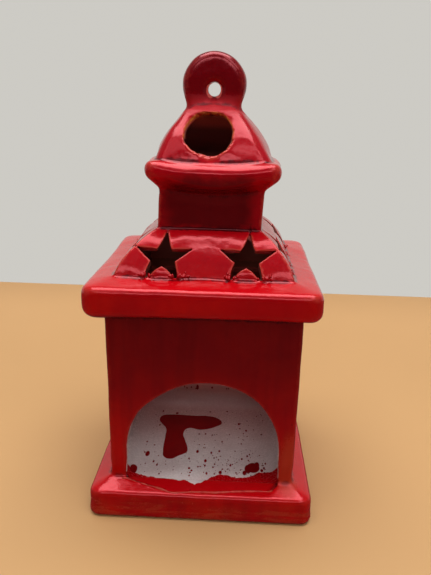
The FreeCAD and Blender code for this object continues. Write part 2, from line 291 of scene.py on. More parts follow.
def place_object(name, data):
    obj = bpy.data.objects.new(name, data)
    bpy.context.scene.collection.objects.link(obj)
    return obj


def mesh_of(name, points, faces=(), edges=()):
    mesh = bpy.data.meshes.new(name)
    mesh.from_pydata([tuple(point) for point in points], edges, faces)
    return mesh


@contextmanager
def opened(mesh):
    """A mesh opened for cutting, and written back at the end."""
    form = bmesh.new()
    form.from_mesh(mesh)
    yield form
    form.to_mesh(mesh)
    form.free()


def read(items, name, kind=np.float32, width=1):
    """One value of all the points, corners or faces of a mesh."""
    numbers = np.empty(len(items) * width, kind)
    items.foreach_get(name, numbers)
    return numbers.reshape(-1, width) if width > 1 else numbers


def shape_by(obj, tree, values):
    """Puts a node tree on an object as a modifier and sets the tree's named inputs."""
    modifier = obj.modifiers.new(tree.name, "NODES")
    modifier.node_group = tree
    names = {item.name: item.identifier for item in tree.interface.items_tree if item.in_out == "INPUT"}
    for name, value in values.items():
        modifier[names[name]] = value


def settled(obj, name):
    """Turns what an object's modifiers make into a plain mesh, and removes the object."""
    graph = bpy.context.evaluated_depsgraph_get()
    mesh = bpy.data.meshes.new_from_object(obj.evaluated_get(graph))
    mesh.name = name
    bpy.data.objects.remove(obj)
    return mesh


def grown(name, start, tree, values):
    """The plain mesh that a node tree makes from a starting mesh."""
    obj = place_object(name, start)
    shape_by(obj, tree, values)
    return settled(obj, name)


def hand_in(name, mesh, slot, *nodes):
    piece = place_object(name, mesh)
    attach(piece, "root")
    if nodes:
        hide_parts(*nodes)


# Camera, stage and light

def set_camera():
    ahead = Vector((
        math.sin(CAMERA_YAW) * math.cos(CAMERA_PITCH),
        math.cos(CAMERA_YAW) * math.cos(CAMERA_PITCH),
        math.sin(CAMERA_PITCH),
    ))
    level = Vector((math.cos(CAMERA_YAW), -math.sin(CAMERA_YAW), 0))
    right = level * math.cos(CAMERA_ROLL) + level.cross(ahead) * math.sin(CAMERA_ROLL)
    turn = Matrix((right, right.cross(ahead), -ahead)).transposed()
    data = bpy.data.cameras.new("camera")
    data.sensor_width = SENSOR
    data.lens = SENSOR * FOCAL_PIXELS / IMAGE_HEIGHT_PIXELS
    data.clip_start = 10 * MM
    camera = place_object("camera", data)
    camera.matrix_world = Matrix.Translation(CAMERA_PLACE) @ turn.to_4x4()
    bpy.context.scene.camera = camera


BACKDROP_PLACE = 300 * MM
BACKDROP_HEIGHT = 450 * MM
BACKDROP_COLOUR = (0.61, 0.595, 0.555, 1)
FLOOR_COLOUR = (0.6, 0.345, 0.145, 1)
FLOOR_SHADE = (0.54, 0.305, 0.125, 1)
FLOOR_MIRRORED = (0.2, 0.03, 0.025, 1)
FLOOR_ROUGHNESS = 0.6
STAGE_REACH = 1.6


def start_material(name):
    material = bpy.data.materials.new(name)
    material.use_nodes = True
    return material, material.node_tree, material.node_tree.nodes["Principled BSDF"]


def table_material():
    material, tree, coat = start_material("pale_table")
    colour = blend(noise(object_place(tree), 6.0), FLOOR_COLOUR, FLOOR_SHADE)
    # In reflections the floor is painted dark red: a painted reflection that keeps the glaze fronts deep.
    mirrored = out(add(tree, "ShaderNodeLightPath"), "Is Glossy Ray")
    feed(coat, "Base Color", blend(mirrored, colour, FLOOR_MIRRORED))
    feed(coat, "Roughness", FLOOR_ROUGHNESS)
    return material


def wall_material():
    """Pale to the camera and in reflections, and clear from behind."""
    material, tree, coat = start_material("pale_wall")
    tree.nodes.remove(coat)
    path = add(tree, "ShaderNodeLightPath")
    mirrored = larger(out(path, "Is Glossy Ray"), out(path, "Is Transmission Ray"))
    seen = larger(out(path, "Is Camera Ray"), mirrored)
    glow = add(tree, "ShaderNodeEmission", {"Color": BACKDROP_COLOUR})
    matt = add(tree, "ShaderNodeBsdfDiffuse", {"Color": BACKDROP_COLOUR})
    front = add(tree, "ShaderNodeMixShader", {0: seen, 1: out(matt), 2: out(glow)})
    clear = add(tree, "ShaderNodeBsdfTransparent")
    behind = out(add(tree, "ShaderNodeNewGeometry"), "Backfacing")
    one_way = add(tree, "ShaderNodeMixShader", {0: behind, 1: out(front), 2: out(clear)})
    feed(tree.nodes["Material Output"], "Surface", out(one_way))
    return material


def set_stage():
    left, right, near, far = -STAGE_REACH, STAGE_REACH, -STAGE_REACH, BACKDROP_PLACE
    ground = [(left, near, 0), (right, near, 0), (right, far, 0), (left, far, 0)]
    floor = place_object("floor", mesh_of("floor", ground, [(0, 1, 2, 3)]))
    floor.data.materials.append(table_material())
    top = BACKDROP_HEIGHT
    upright = [(left, far, 0), (right, far, 0), (right, far, top), (left, far, top)]
    wall = place_object("backdrop", mesh_of("backdrop", upright, [(0, 1, 2, 3)]))
    wall.data.materials.append(wall_material())


LAMP_WARM = (1.0, 0.985, 0.96)
LAMP_WHITE = (1.0, 0.985, 0.965)
LANTERN_MIDDLE = (0, 0, 0.09)
# Each lamp: its place, what it points at, its width, depth, power and colour.
LAMPS = {
    "overhead_softbox": ((0, 0.03, 1.15), (0, 0.03, 0), 1.1, 0.75, 14.0, LAMP_WARM),
    "left_softbox": ((-0.56, -0.7, 1.08), LANTERN_MIDDLE, 0.6, 0.45, 1.0, LAMP_WHITE),
    "right_softbox": ((0.56, -0.7, 1.08), LANTERN_MIDDLE, 0.6, 0.45, 2.3, LAMP_WHITE),
    "front_strip": ((0.02, -1.12, 0.78), LANTERN_MIDDLE, 0.9, 0.22, 2.4, LAMP_WHITE),
}
ROOM_COLOUR = (0.95, 0.97, 1.0, 1)
ROOM_DIM = 0.04
ROOM_SIDES = 0.2
ROOM_CEILING = 0.15


def set_lamps():
    for name, (place, aim, width, depth, power, colour) in LAMPS.items():
        data = bpy.data.lights.new(name, "AREA")
        data.shape = "RECTANGLE"
        data.size = width
        data.size_y = depth
        data.energy = power
        data.color = colour
        lamp = place_object(name, data)
        lamp.location = place
        lamp.rotation_euler = (Vector(aim) - Vector(place)).to_track_quat("-Z", "Y").to_euler()


def set_room():
    world = bpy.data.worlds.new("room")
    bpy.context.scene.world = world
    world.use_nodes = True
    tree = world.node_tree
    sky = tree.nodes["Background"]
    feed(sky, "Color", ROOM_COLOUR)
    across, _, up = axes_of(out(add(tree, "ShaderNodeTexCoord"), "Generated"))
    beside = ramp(abs(across), 0.35, 0.9, ROOM_DIM, ROOM_SIDES)
    above = ramp(up, 0.2, 0.9, 0.0, ROOM_CEILING)
    feed(sky, "Strength", beside + above)
    bpy.context.scene.view_settings.view_transform = "Standard"


# Glaze materials

def glaze_mottling():
    """Shared by every glaze: patches, runs, grain, specks and the ripple of the fired surface."""
    tree, given, ending = new_effect(
        "glaze_mottling", ["Speck size"], ["Patch", "Run", "Grain", "Speck", "Ripple"])
    place = object_place(tree)
    cells = add(tree, "ShaderNodeTexVoronoi", {"Vector": place, "Scale": 230.0})
    lottery = out(add(tree, "ShaderNodeSeparateColor", {0: out(cells, "Color")}), "Red")
    reach = ramp(lottery, 0.72, 1.0, smooth=False) * given["Speck size"]
    return end_effect(ending, {
        "Patch": ramp(noise(place, 34, 4, 0.6, 0.3), 0.36, 0.64),
        "Run": ramp(noise(stretched(place, (210, 210, 16)), 1.0, 3, 0.55), 0.4, 0.72),
        "Grain": noise(place, 1100, 3, 0.6),
        "Speck": ramp(reach - out(cells, "Distance"), -0.015, 0.02),
        "Ripple": noise(place, 95) + noise(place, 620) * 0.12,
    })


def glaze_thickness():
    """Where the glaze draws back from sharp edges, and where it pools in hollows."""
    tree, given, ending = new_effect("glaze_thickness", ["Break-up"], ["Thin", "Pool"])
    ragged = noise(object_place(tree), 420, 3, 0.6) - 0.5
    uneven = ragged * given["Break-up"] + attribute(tree, "bend")
    return end_effect(ending, {"Thin": ramp(uneven, 0.16, 0.5), "Pool": ramp(uneven, -0.06, -0.3)})


RUBBED_PILLAR = (39 * MM, -41 * MM, 22 * MM)


def painted_shade_and_rubbing():
    """Painted shade on the middle of the neck's faces under the cornice, on the body under the eaves and on
    the loop; and where handling rubbed the red to the clay.
    """
    tree, given, ending = new_effect("painted_shade_and_rubbing", ["Break-up"], ["Painted shade", "Rubbed"])
    place = object_place(tree)
    across, along, height = axes_of(place)
    ragged = (noise(place, 60, 3, 0.6) - 0.5) * given["Break-up"]
    along_face = smaller(abs(across), abs(along))
    mid_face = ramp(ragged * (14 * MM) + along_face, 22 * MM, 14 * MM, 0.3, 1.0)
    wavering = ragged * (12 * MM) + height
    # Painted shade: the neck under the cornice, the body under the eaves and the loop are darkened.
    neck = ramp(wavering, NECK_FOOT - 1 * MM, NECK_FOOT + 3 * MM)
    neck = neck * ramp(wavering, CORNICE_FOOT + 9 * MM, CORNICE_FOOT + 2 * MM) * mid_face
    eaves_shadow = ramp(wavering, EAVES_FOOT - 76 * MM, EAVES_FOOT - 12 * MM)
    eaves_shadow = eaves_shadow * ramp(height, EAVES_FOOT + 2 * MM, EAVES_FOOT)
    loop = ramp(height, DOME_HEAD - 1 * MM, DOME_HEAD + 5 * MM)
    painted_shade = larger(larger(neck, loop * 0.75), eaves_shadow * 0.85)
    from_pillar = length((place - RUBBED_PILLAR) * (1.6, 1.0, 0.45))
    pillar = ramp(ragged * (-6 * MM) + from_pillar, 10 * MM, 4 * MM)
    skirt = ramp(ragged * (16 * MM) + height, 12 * MM, 4 * MM, 0.0, 0.5)
    streak = ramp(noise(stretched(place, (60, 60, 420)), 1.0, 4, 0.65, 0.4), 0.38, 0.66)
    return end_effect(ending, {"Painted shade": painted_shade, "Rubbed": larger(pillar * 0.5, skirt * streak)})


# The line along which the red outside runs into the white chamber, from left to right.
LIP_LINE = [(-37, -30), (-30.5, -33.7), (-25, -35.1), (-19, -37), (-13, -38.9), (-7.3, -38.4),
            (-2.9, -40.4), (0, -39.6), (2.6, -35.9), (6.8, -32.6), (11, -31.7), (15, -33.2),
            (21, -32.7), (24, -31.3), (28, -28.5), (33, -28.7), (37, -28)]
LIP_SPAN = 40
LIP_NEAR, LIP_FAR = -45, -25


def white_inside():
    """Masks of the chamber: its white glaze; the bare clay above that it didn't reach, painted dark as
    shade; and the back, where painted shade and a painted red bounce of light fall on the white.
    """
    tree, given, ending = new_effect("white_inside", ["Raggedness"], ["White", "Bare in shade", "Shaded back"])
    place = object_place(tree)
    across, along, up = axes_of(place)
    ragged = noise(place, 330, 4, 0.6) - 0.5
    share = ramp(across, -LIP_SPAN * MM, LIP_SPAN * MM, smooth=False)
    spots = [((x + LIP_SPAN) / (2 * LIP_SPAN), (y - LIP_NEAR) / (LIP_FAR - LIP_NEAR)) for x, y in LIP_LINE]
    lip = ramp(curve_through(share, spots), 0, 1, LIP_NEAR * MM, LIP_FAR * MM, smooth=False)
    low = ramp(up, 17.5 * MM, 15.5 * MM)
    jamb = -BODY_HALF + 1.1 * MM
    edge = low * (lip - jamb) + jamb
    wander = ragged * given["Raggedness"] * (low * 0.7 + 0.3)
    white = ramp(along + wander - edge, -0.15 * MM, 0.15 * MM)
    inner = CHAMBER_HALF + 1.5 * MM
    limits = [abs(across) < inner, along < inner, up < EAVES_FOOT + 8 * MM, up > FLOOR_TOP - 2 * MM]
    for limit in limits:
        white = white * limit
    # Above this the chamber walls are bare clay, painted dark brown as shade.
    unglazed_in_shade = ramp(ragged * (20 * MM) + up, 44 * MM, 62 * MM)
    # Painted shade and painted red bounce light, growing towards the back of the chamber.
    deep = ramp(along, -22 * MM, 30 * MM)
    return end_effect(ending, {"White": white, "Bare in shade": white * unglazed_in_shade, "Shaded back": deep})


RED_RICH = (0.33, 0.0004, 0.002, 1)
RED_WARM = (0.41, 0.0026, 0.001, 1)
# Painted light from above, on the faces that look up.
RED_PAINTED_TOP_LIGHT = (0.62, 0.0016, 0.006, 1)
RED_CRIMSON = (0.38, 0.0004, 0.009, 1)
RED_SILL = (0.48, 0.001, 0.0045, 1)
RED_DEEP = (0.075, 0.0004, 0.0025, 1)
RED_DARK = (0.018, 0.0006, 0.002, 1)
RED_THIN = (0.5, 0.06, 0.035, 1)
RED_SPILT = (0.3, 0.002, 0.004, 1)
RED_SPILT_DEEP = (0.22, 0.0015, 0.004, 1)
RUBBED_BROWN = (0.36, 0.045, 0.012, 1)
CLAY_ORANGE = (0.55, 0.15, 0.03, 1)
WHITE_CLEAN = (0.84, 0.72, 0.71, 1)
WHITE_DULL = (0.74, 0.6, 0.59, 1)
# Painted shade with a painted red bounce of light, for the back of the chamber.
WHITE_PAINTED_SHADE = (0.72, 0.4, 0.38, 1)
SPECK_RED = (0.16, 0.003, 0.005, 1)
# Bare clay inside the lantern, painted dark brown as shade.
BARE_CLAY_PAINTED_SHADE = (0.13, 0.038, 0.026, 1)
# Painted light inside the dome: dim lower down, lit towards the top.
DOME_INSIDE_PAINTED_DIM = (0.3, 0.08, 0.06, 1)
DOME_INSIDE_PAINTED_LIT = (0.85, 0.18, 0.15, 1)
GLAZE_TINT = (1.0, 0.25, 0.29, 1)
SPECK_SIZE = 0.1
LIP_RAGGEDNESS = 4.5 * MM


def group_node(tree, group, name, value):
    """Places a group in a material, with its one input set. Gives its outputs by name."""
    node = tree.nodes.new("ShaderNodeGroup")
    node.node_tree = group
    node.inputs[name].default_value = value
    return {socket.name: Field(socket) for socket in node.outputs}


def painted(colour, layers):
    """A colour with layers laid over it, each with its mask."""
    for mask, paint in layers:
        colour = blend(mask, colour, paint)
    return colour


def cream_glaze(mottling, inside, specks):
    # Towards the back, the white is painted rosier and darker as shade and red bounce light.
    layers = [(mottling["Patch"], WHITE_DULL), (inside["Shaded back"], WHITE_PAINTED_SHADE)]
    return painted(WHITE_CLEAN, layers + [(mottling["Speck"] * specks, SPECK_RED)])


def set_ripple(coat, mottling, depth):
    bump = {"Strength": 1.0, "Distance": depth, "Height": mottling["Ripple"]}
    feed(coat, "Normal", out(add(coat.id_data, "ShaderNodeBump", bump)))


def set_red_sheen(coat):
    feed(coat, "Specular Tint", GLAZE_TINT)
    feed(coat, "Specular IOR Level", 1.0)


def red_glaze(groups):
    material, tree, coat = start_material("red_glaze")
    mottling = group_node(tree, groups["mottling"], "Speck size", SPECK_SIZE)
    thickness = group_node(tree, groups["thickness"], "Break-up", 0.5)
    marks = group_node(tree, groups["marks"], "Break-up", 1.0)
    inside = group_node(tree, groups["white"], "Raggedness", LIP_RAGGEDNESS)
    place = object_place(tree)
    height = axes_of(place)[2]
    # Faces that look up, below the dome, are painted a brighter red: painted light from above.
    below_dome = ramp(height, DOME_FOOT + 2 * MM, DOME_FOOT - 2 * MM)
    level = ramp(attribute(tree, "level"), 0.5, 0.95) * below_dome
    rim = attribute(tree, "rim") * ramp(noise(place, 520, 3, 0.65), 0.4, 0.54)
    rim = rim * ramp(height, VENT_PLACE[2] - 9 * MM, VENT_PLACE[2] + 3 * MM, 0.2, 1.0)
    # Inside the chimney and at the top of the chamber the clay is bare, painted dark brown as the shade
    # inside.
    flue = ramp(attribute(tree, "inner"), 0.05, 0.3)
    flue = flue * ramp(height, EAVES_FOOT + 4 * MM, EAVES_FOOT + 8 * MM)
    bare_in_shade = painted(BARE_CLAY_PAINTED_SHADE, [
        # Inside the dome, painted light: dim lower down and lit towards the top.
        (ramp(height, DOME_FOOT + 2 * MM, DOME_FOOT + 7 * MM), DOME_INSIDE_PAINTED_DIM),
        (ramp(height, DOME_FOOT + 11 * MM, DOME_FOOT + 15 * MM), DOME_INSIDE_PAINTED_LIT),
    ])
    feed(coat, "Base Color", painted(RED_RICH, [
        (mottling["Patch"], RED_WARM),
        (ramp(height, EAVES_FOOT, NECK_FOOT) * 0.7, RED_CRIMSON),
        (mottling["Run"] * ramp(height, EAVES_FOOT - 4 * MM, EAVES_FOOT, 0.22, 0.08), RED_DEEP),
        # Painted shade on the neck under the cornice, on the body under the eaves and on the loop.
        (marks["Painted shade"] * 0.8, RED_DARK),
        (level * 0.7, RED_PAINTED_TOP_LIGHT),
        (marks["Rubbed"], RUBBED_BROWN),
        (thickness["Pool"] * ramp(height, 18 * MM, 30 * MM, 0.5, 0.85), RED_DARK),
        (thickness["Thin"] * ramp(height, EAVES_FOOT, SHOULDER_FOOT, 0.12, 0.5), RED_THIN),
        (attribute(tree, "worn_edge"), RED_THIN),
        (rim, CLAY_ORANGE),
        (mottling["Speck"] * 0.6, RED_DEEP),
        (inside["White"], cream_glaze(mottling, inside, 0.85)),
        (larger(flue, inside["Bare in shade"]), bare_in_shade),
    ]))
    loop_foot = ramp(abs(height - LOOP_JOINT), 5 * MM, 2 * MM)
    dull = larger(larger(flue, marks["Rubbed"]), loop_foot)
    feed(coat, "Roughness", ramp(mottling["Grain"], 0.3, 0.75, 0.12, 0.24) + dull * 0.45)
    set_ripple(coat, mottling, 0.3 * MM)
    set_red_sheen(coat)
    return material


def white_glaze(groups):
    material, tree, coat = start_material("white_glaze")
    mottling = group_node(tree, groups["mottling"], "Speck size", SPECK_SIZE)
    inside = group_node(tree, groups["white"], "Raggedness", LIP_RAGGEDNESS)
    feed(coat, "Base Color", blend(inside["White"], RED_SILL, cream_glaze(mottling, inside, 0.9)))
    feed(coat, "Roughness", ramp(mottling["Grain"], 0.3, 0.75, 0.2, 0.34))
    set_ripple(coat, mottling, 0.15 * MM)
    return material


def spilt_glaze(groups):
    material, tree, coat = start_material("spilt_glaze")
    mottling = group_node(tree, groups["mottling"], "Speck size", SPECK_SIZE)
    feed(coat, "Base Color", blend(mottling["Patch"], RED_SPILT, RED_SPILT_DEEP))
    feed(coat, "Roughness", ramp(mottling["Grain"], 0.3, 0.75, 0.1, 0.2))
    set_red_sheen(coat)
    return material


# The glazed skin

# How far the hand-built tower leans to the right at each height, in millimetres.
LEAN = [(0, 0.0), (60, 0.0), (88, 0.1), (92.5, 0.0), (96, -0.7), (100, -0.8), (108, -0.7), (126, 0.4),
        (143, 1.1), (150, 1.5), (160, 1.0), (170, 0.8), (178, 0.3), (186, 0.4), (200, 0.4)]
LEAN_HEIGHT = 200
LEAN_MOST = 4

# Where a form sits a little off its true place: middle, reach and push, in millimetres.
NUDGES = [
    ((0, -21, 166), (26, 15, 24), (-2.0, 0, 0)),  # front of the dome
    ((-4, -41, 64), (44, 9, 36), (2.0, 0, -0.9)),  # crown of the doorway
    ((-35, -40, 30), (9, 9, 34), (0.9, 0, 0)),  # left doorpost
    ((-52, 0, 92), (62, 90, 16), (0, 0, -1.3)),  # left end of the eaves
    ((0, 52, 108), (110, 60, 13), (0, 0, 1.6)),  # back of the eaves
    ((0, -27, 143), (27, 9, 8), (0, -0.4, -2.2)),  # underside of the cornice, in front
    ((0, -28, 154.5), (26, 8, 4.5), (0, 0, -0.9)),  # top of the cornice, in front
    ((0, -6.5, 178.5), (26, 8, 7), (0, 0, -1.8)),  # front foot of the loop
    ((0, -33, 118), (42, 12, 12), (0, 0.6, -0.6)),  # front shoulder
    ((-41, 0, 88), (7, 70, 44), (-0.6, 0, 0)),  # head of the left wall
    ((-17.5, -31, 116), (19, 17, 15), (-0.2, -0.77, -0.92)),  # left front star
    ((17.5, -31, 116), (19, 17, 15), (-0.4, -0.55, -0.65)),  # right front star
    ((-17.5, 31, 117), (19, 17, 15), (1.6, 0.7, -0.9)),  # a star at the back
    ((0, -29, 151), (29, 9, 10), (0, -0.6, -1.2)),  # sag of the cornice, in front
    ((-1.5, -22.5, 157.5), (6, 5, 3.2), (0, 0, 0.9)),  # lower edge of the vent
]
# Both front stars: the clay between the lower points stands up, and the top point comes down.
for across in (-17.5, 17.5):
    NUDGES.append(((across, -36.5, 113), (8, 8, 5), (0, 0.2, 1.4)))
    NUDGES.append(((across, -28.5, 124.5), (8, 6.3, 6), (0, -1.1, -0.9)))
# The four faces of the dome bulge alike.
NUDGES += [(turned(side, (0, -24, 161)), (20, 20, 26), turned(side, (0, -0.8, 0.3))) for side in SIDE_TURNS]
# Where an opening is drawn in: middle, reach, share and the ways it is drawn.
SQUEEZES = [
    (VENT_PLACE, 18 * MM, 0.07, (1.0, 1.0, 1.0)),
    ((0, 0, HOLE_LEVEL), 8 * MM, 0.16, (1.0, 0.0, 1.0)),
]
DIMPLE_RADIUS = 5.6 * MM
DIMPLE_DEPTH = 0.7 * MM
LOOP_JOINT_REACH = 11 * MM
HIP_SOFTENING = 0.06
DOME_FULLNESS = 0.037
VENT_CHIP = 0.7 * MM
KNIFE_DEPTH = 1.1 * MM
KNIFE_WIDTH = 0.45 * MM
SMALLEST_CLAY = 300
SKIN_VALUES = ("bend", "inner", "level", "rim")


def store(geometry, name, value):
    settings = {"Geometry": geometry, "Name": name, "Value": value}
    return out(add(geometry.tree, "GeometryNodeStoreNamedAttribute", settings, data_type="FLOAT"))


def moved_to(geometry, place):
    return out(add(geometry.tree, "GeometryNodeSetPosition", {"Geometry": geometry, "Position": place}))


def blurred(vector, times, weight=1.0):
    settings = {"Value": vector, "Iterations": times, "Weight": weight}
    return out(add(vector.tree, "GeometryNodeBlurAttribute", settings, data_type="FLOAT_VECTOR"))


def nearest(tree, target, key):
    """How far an object's surface is, or where it is nearest, by the name of the output."""
    surface = out(add(tree, "GeometryNodeObjectInfo", {"Object": target}), "Geometry")
    return out(add(tree, "GeometryNodeProximity", {"Geometry": surface}, target_element="FACES"), key)


def without_crumbs(geometry):
    """Drops islands too small to be part of the clay."""
    tree = geometry.tree
    island = out(add(tree, "GeometryNodeInputMeshIsland"), "Island Index")
    count = add(tree, "GeometryNodeAccumulateField", {"Value": 1.0, "Group ID": island})
    small = out(count, "Total") < SMALLEST_CLAY
    return out(add(tree, "GeometryNodeDeleteGeometry", {"Geometry": geometry, "Selection": small}))


def pushes(place):
    """The sum of the nudges and squeezes at a place."""
    total = rounder_dome(place)
    for middle, reach, push in NUDGES:
        share = length((place - in_mm(middle)) / in_mm(reach))
        total = total + scaled(in_mm(push), ramp(share, 1.0, 0.35))
    for middle, reach, squeeze, ways in SQUEEZES:
        towards = (middle - place) * ways
        share = length(towards) / reach
        total = total + scaled(towards, ramp(share, 1.0, 0.4, 0.0, squeeze))
    return total


def rounder_dome(place):
    """Fills the faces of the dome out and draws its hips in, so that they run softly into each other."""
    across, along, height = axes_of(place)
    plan = place * (1.0, 1.0, 0.0)
    cornering = across * along / dot(plan, plan)
    hips = cornering * cornering * (-4 * HIP_SOFTENING)
    hips = hips * ramp(height, DOME_HEAD + 3 * MM, DOME_HEAD - 8 * MM)
    full = ramp(height, DOME_HEAD - 4 * MM, DOME_FOOT + 9 * MM, 0.0, DOME_FULLNESS)
    return scaled(plan, (hips + full) * ramp(height, DOME_FOOT, DOME_FOOT + 6 * MM))


def leaning(height):
    spots = [(z / LEAN_HEIGHT, 0.5 + shift / LEAN_MOST) for z, shift in LEAN]
    bent = curve_through(height / (LEAN_HEIGHT * MM), spots)
    shift = ramp(bent, 0, 1, -LEAN_MOST / 2 * MM, LEAN_MOST / 2 * MM, smooth=False)
    return out(add(height.tree, "ShaderNodeCombineXYZ", {"X": shift}))


def vent_rim(place):
    from_bore = place - VENT_BORE
    wide = length(reckon("CROSS_PRODUCT", from_bore, VENT_WAY))
    deep = dot(from_bore, VENT_WAY)
    return ramp(wide, VENT_RADIUS + 1.3 * MM, VENT_RADIUS + 0.2 * MM) * ramp(deep, -8 * MM, -5 * MM)


def hand_formed():
    """Softens a raw clay form, lets it lean and slump as hand work does, and marks its edges."""
    tree, given, ending = new_shaper("hand_formed", {
        "Softening": "Int", "Away from joint": "Float", "Edge spread": "Int", "Slump": "Float",
        "Slump size": "Float", "Dent": "Float", "Dent size": "Float", "Knife": "Object"})
    place = out(add(tree, "GeometryNodeInputPosition"))
    normal = out(add(tree, "GeometryNodeInputNormal"))
    height = axes_of(place)[2]
    _, forward, level = axes_of(normal)

    from_joint = abs(height - LOOP_JOINT)
    ease = ramp(from_joint, LOOP_JOINT_REACH, 0.4 * LOOP_JOINT_REACH, given["Away from joint"], 1.0)
    clay = moved_to(without_crumbs(given["Geometry"]), blurred(place, given["Softening"], ease))
    from_spread = place - blurred(place, given["Edge spread"])
    bend = dot(from_spread, normal) / (0.6 * MM)
    outward = reckon("NORMALIZE", place * (1.0, 1.0, 0.0))
    inner = dot(outward, normal) * -1.0
    rim = vent_rim(place)
    # level, how far a point faces up, drives the painted light on the tops.
    for name, value in zip(SKIN_VALUES, (bend, inner, level, rim)):
        clay = store(clay, name, value)

    steady = ramp(height, 1.0 * MM, 7.0 * MM)
    inward = larger(ramp(height, 26 * MM, 18 * MM, 0.5, 1.0), ramp(height, 188 * MM, 196 * MM, 0.5, 1.0))
    calm = ramp(height, SHOULDER_FOOT - 6 * MM, SHOULDER_FOOT + 3 * MM, 1.0, 0.45)
    slump = (noise(place, given["Slump size"], 1) - inward) * (given["Slump"] * calm)
    dent = (noise(place, given["Dent size"], 2) - inward) * given["Dent"]
    slit = ramp(nearest(tree, given["Knife"], "Distance"), KNIFE_WIDTH, 0.0, 0.0, -KNIFE_DEPTH)
    from_hole = length((place - (0, 0, HOLE_LEVEL)) * (1.0, 0.0, 1.0))
    dimple = ramp(from_hole, DIMPLE_RADIUS, DIMPLE_RADIUS * 0.5, 0.0, -DIMPLE_DEPTH)
    dimple = dimple * ramp(abs(forward), 0.5, 0.95)
    chip = ramp(noise(place, 330, 2), 0.45, 0.7, 0.0, -VENT_CHIP) * rim
    depth = (slump + dent) * steady + (slit + dimple + chip)
    formed = place + (scaled(normal, depth) + leaning(height) + pushes(place))
    formed = smaller(larger(formed, tuple(CAD_BOX[0])), tuple(CAD_BOX[1]))
    return end_shaper(given, ending, moved_to(clay, formed))


STAR_MIDDLES = {"left": -17.5 * MM, "right": 17.5 * MM}
STAR_RISE = 10.2 * MM
STAR_RADIUS = 12.2 * MM
# How far the knife ran on past the points of a star, in millimetres, from the top point round.
FRONT_OVERCUTS = {"left": (0.4, -0.6, 1.6, 1.4, -0.6), "right": (3.0, -0.5, 1.8, 1.6, -0.7)}


def on_panel(side, across, rise, out_of_face):
    """A point on a shoulder panel, from its middle line, its foot and its face."""
    lean = math.atan2(SHOULDER_HALF - NECK_HALF, NECK_FOOT - SHOULDER_FOOT)
    point = Vector((across, -SHOULDER_HALF, SHOULDER_FOOT))
    point += Vector((0, math.sin(lean), math.cos(lean))) * rise
    point += Vector((0, -math.cos(lean), math.sin(lean))) * out_of_face
    return turned(side, point)


def star_point(middle, tip, reach):
    """How far across and up a panel a spot is, on the way from a star's middle to one of its points."""
    turn = math.radians(90 + 72 * tip)
    return middle + reach * math.cos(turn), STAR_RISE + reach * math.sin(turn)


def knife_blades():
    """Thin upright strips where the knife ran on past the points of the stars."""
    chance = random.Random(7)
    points = []
    for side in SIDE_TURNS:
        for hand, middle in STAR_MIDDLES.items():
            some = [chance.uniform(0.2, 1.6) for _ in range(5)]
            overcuts = FRONT_OVERCUTS[hand] if side == "front" else some
            for tip, over in enumerate(overcuts):
                for reach, deep in ((-1.5, -3), (over, -3), (over, 7), (-1.5, 7)):
                    across, rise = star_point(middle, tip, STAR_RADIUS + reach * MM)
                    points.append(on_panel(side, across, rise, deep * MM))
    faces = [tuple(range(corner, corner + 4)) for corner in range(0, len(points), 4)]
    return place_object("knife_blades", mesh_of("knife_blades", points, faces))


# How near a cut a point is drawn on to it, in millimetres.
CUT_SNAP = 0.002


def open_edges(form, point, normal):
    """The open edges of a form that lie in a plane."""

    def in_plane(edge):
        return all(abs((corner.co - point).dot(normal)) < 2 * CUT_SNAP for corner in edge.verts)

    return [edge for edge in form.edges if edge.is_boundary and in_plane(edge)]


def cut_and_close(form, planes, nested=True):
    """Cuts a closed form off at each plane, in millimetres, so that the fill isn't rounded off.
    A cut through nested loops is closed as a ring between them."""
    bmesh.ops.scale(form, vec=(1 / MM, 1 / MM, 1 / MM), verts=form.verts)
    for point, normal in planes:
        point, normal = Vector(point) / MM, Vector(normal)
        whole = form.verts[:] + form.edges[:] + form.faces[:]
        bmesh.ops.bisect_plane(
            form, geom=whole, dist=CUT_SNAP, plane_co=point, plane_no=normal, clear_outer=True)
        filled = []
        if nested:
            seam = open_edges(form, point, normal)
            filled = bmesh.ops.triangle_fill(form, use_beauty=True, edges=seam, normal=normal)["geom"]
        loops = bmesh.ops.holes_fill(form, edges=open_edges(form, point, normal), sides=0)["faces"]
        filled += bmesh.ops.triangulate(form, faces=loops)["faces"]
        for face in filled:
            if isinstance(face, bmesh.types.BMFace):
                face.smooth = False
    bmesh.ops.recalc_face_normals(form, faces=form.faces)
    bmesh.ops.scale(form, vec=(MM, MM, MM), verts=form.verts)


def level_planes(low, high):
    return [((0, 0, low), (0, 0, -1)), ((0, 0, high), (0, 0, 1))]


def wedge_planes(side):
    return [((0, 0, 0), tuple(turned(side, Vector((hand, 1, 0)).normalized()))) for hand in (-1, 1)]


def raw_form(nodes, low, high):
    """The CAD solids of some nodes between two levels, in one mesh."""
    whole = bmesh.new()
    for node in nodes:
        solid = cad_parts[node].data.copy()
        with opened(solid) as form:
            bmesh.ops.remove_doubles(form, verts=form.verts, dist=0.1e-3 * MM)
            cut_and_close(form, level_planes(low, high))
        whole.from_mesh(solid)
        bpy.data.meshes.remove(solid)
    mesh = bpy.data.meshes.new("raw_form")
    whole.to_mesh(mesh)
    whole.free()
    return mesh


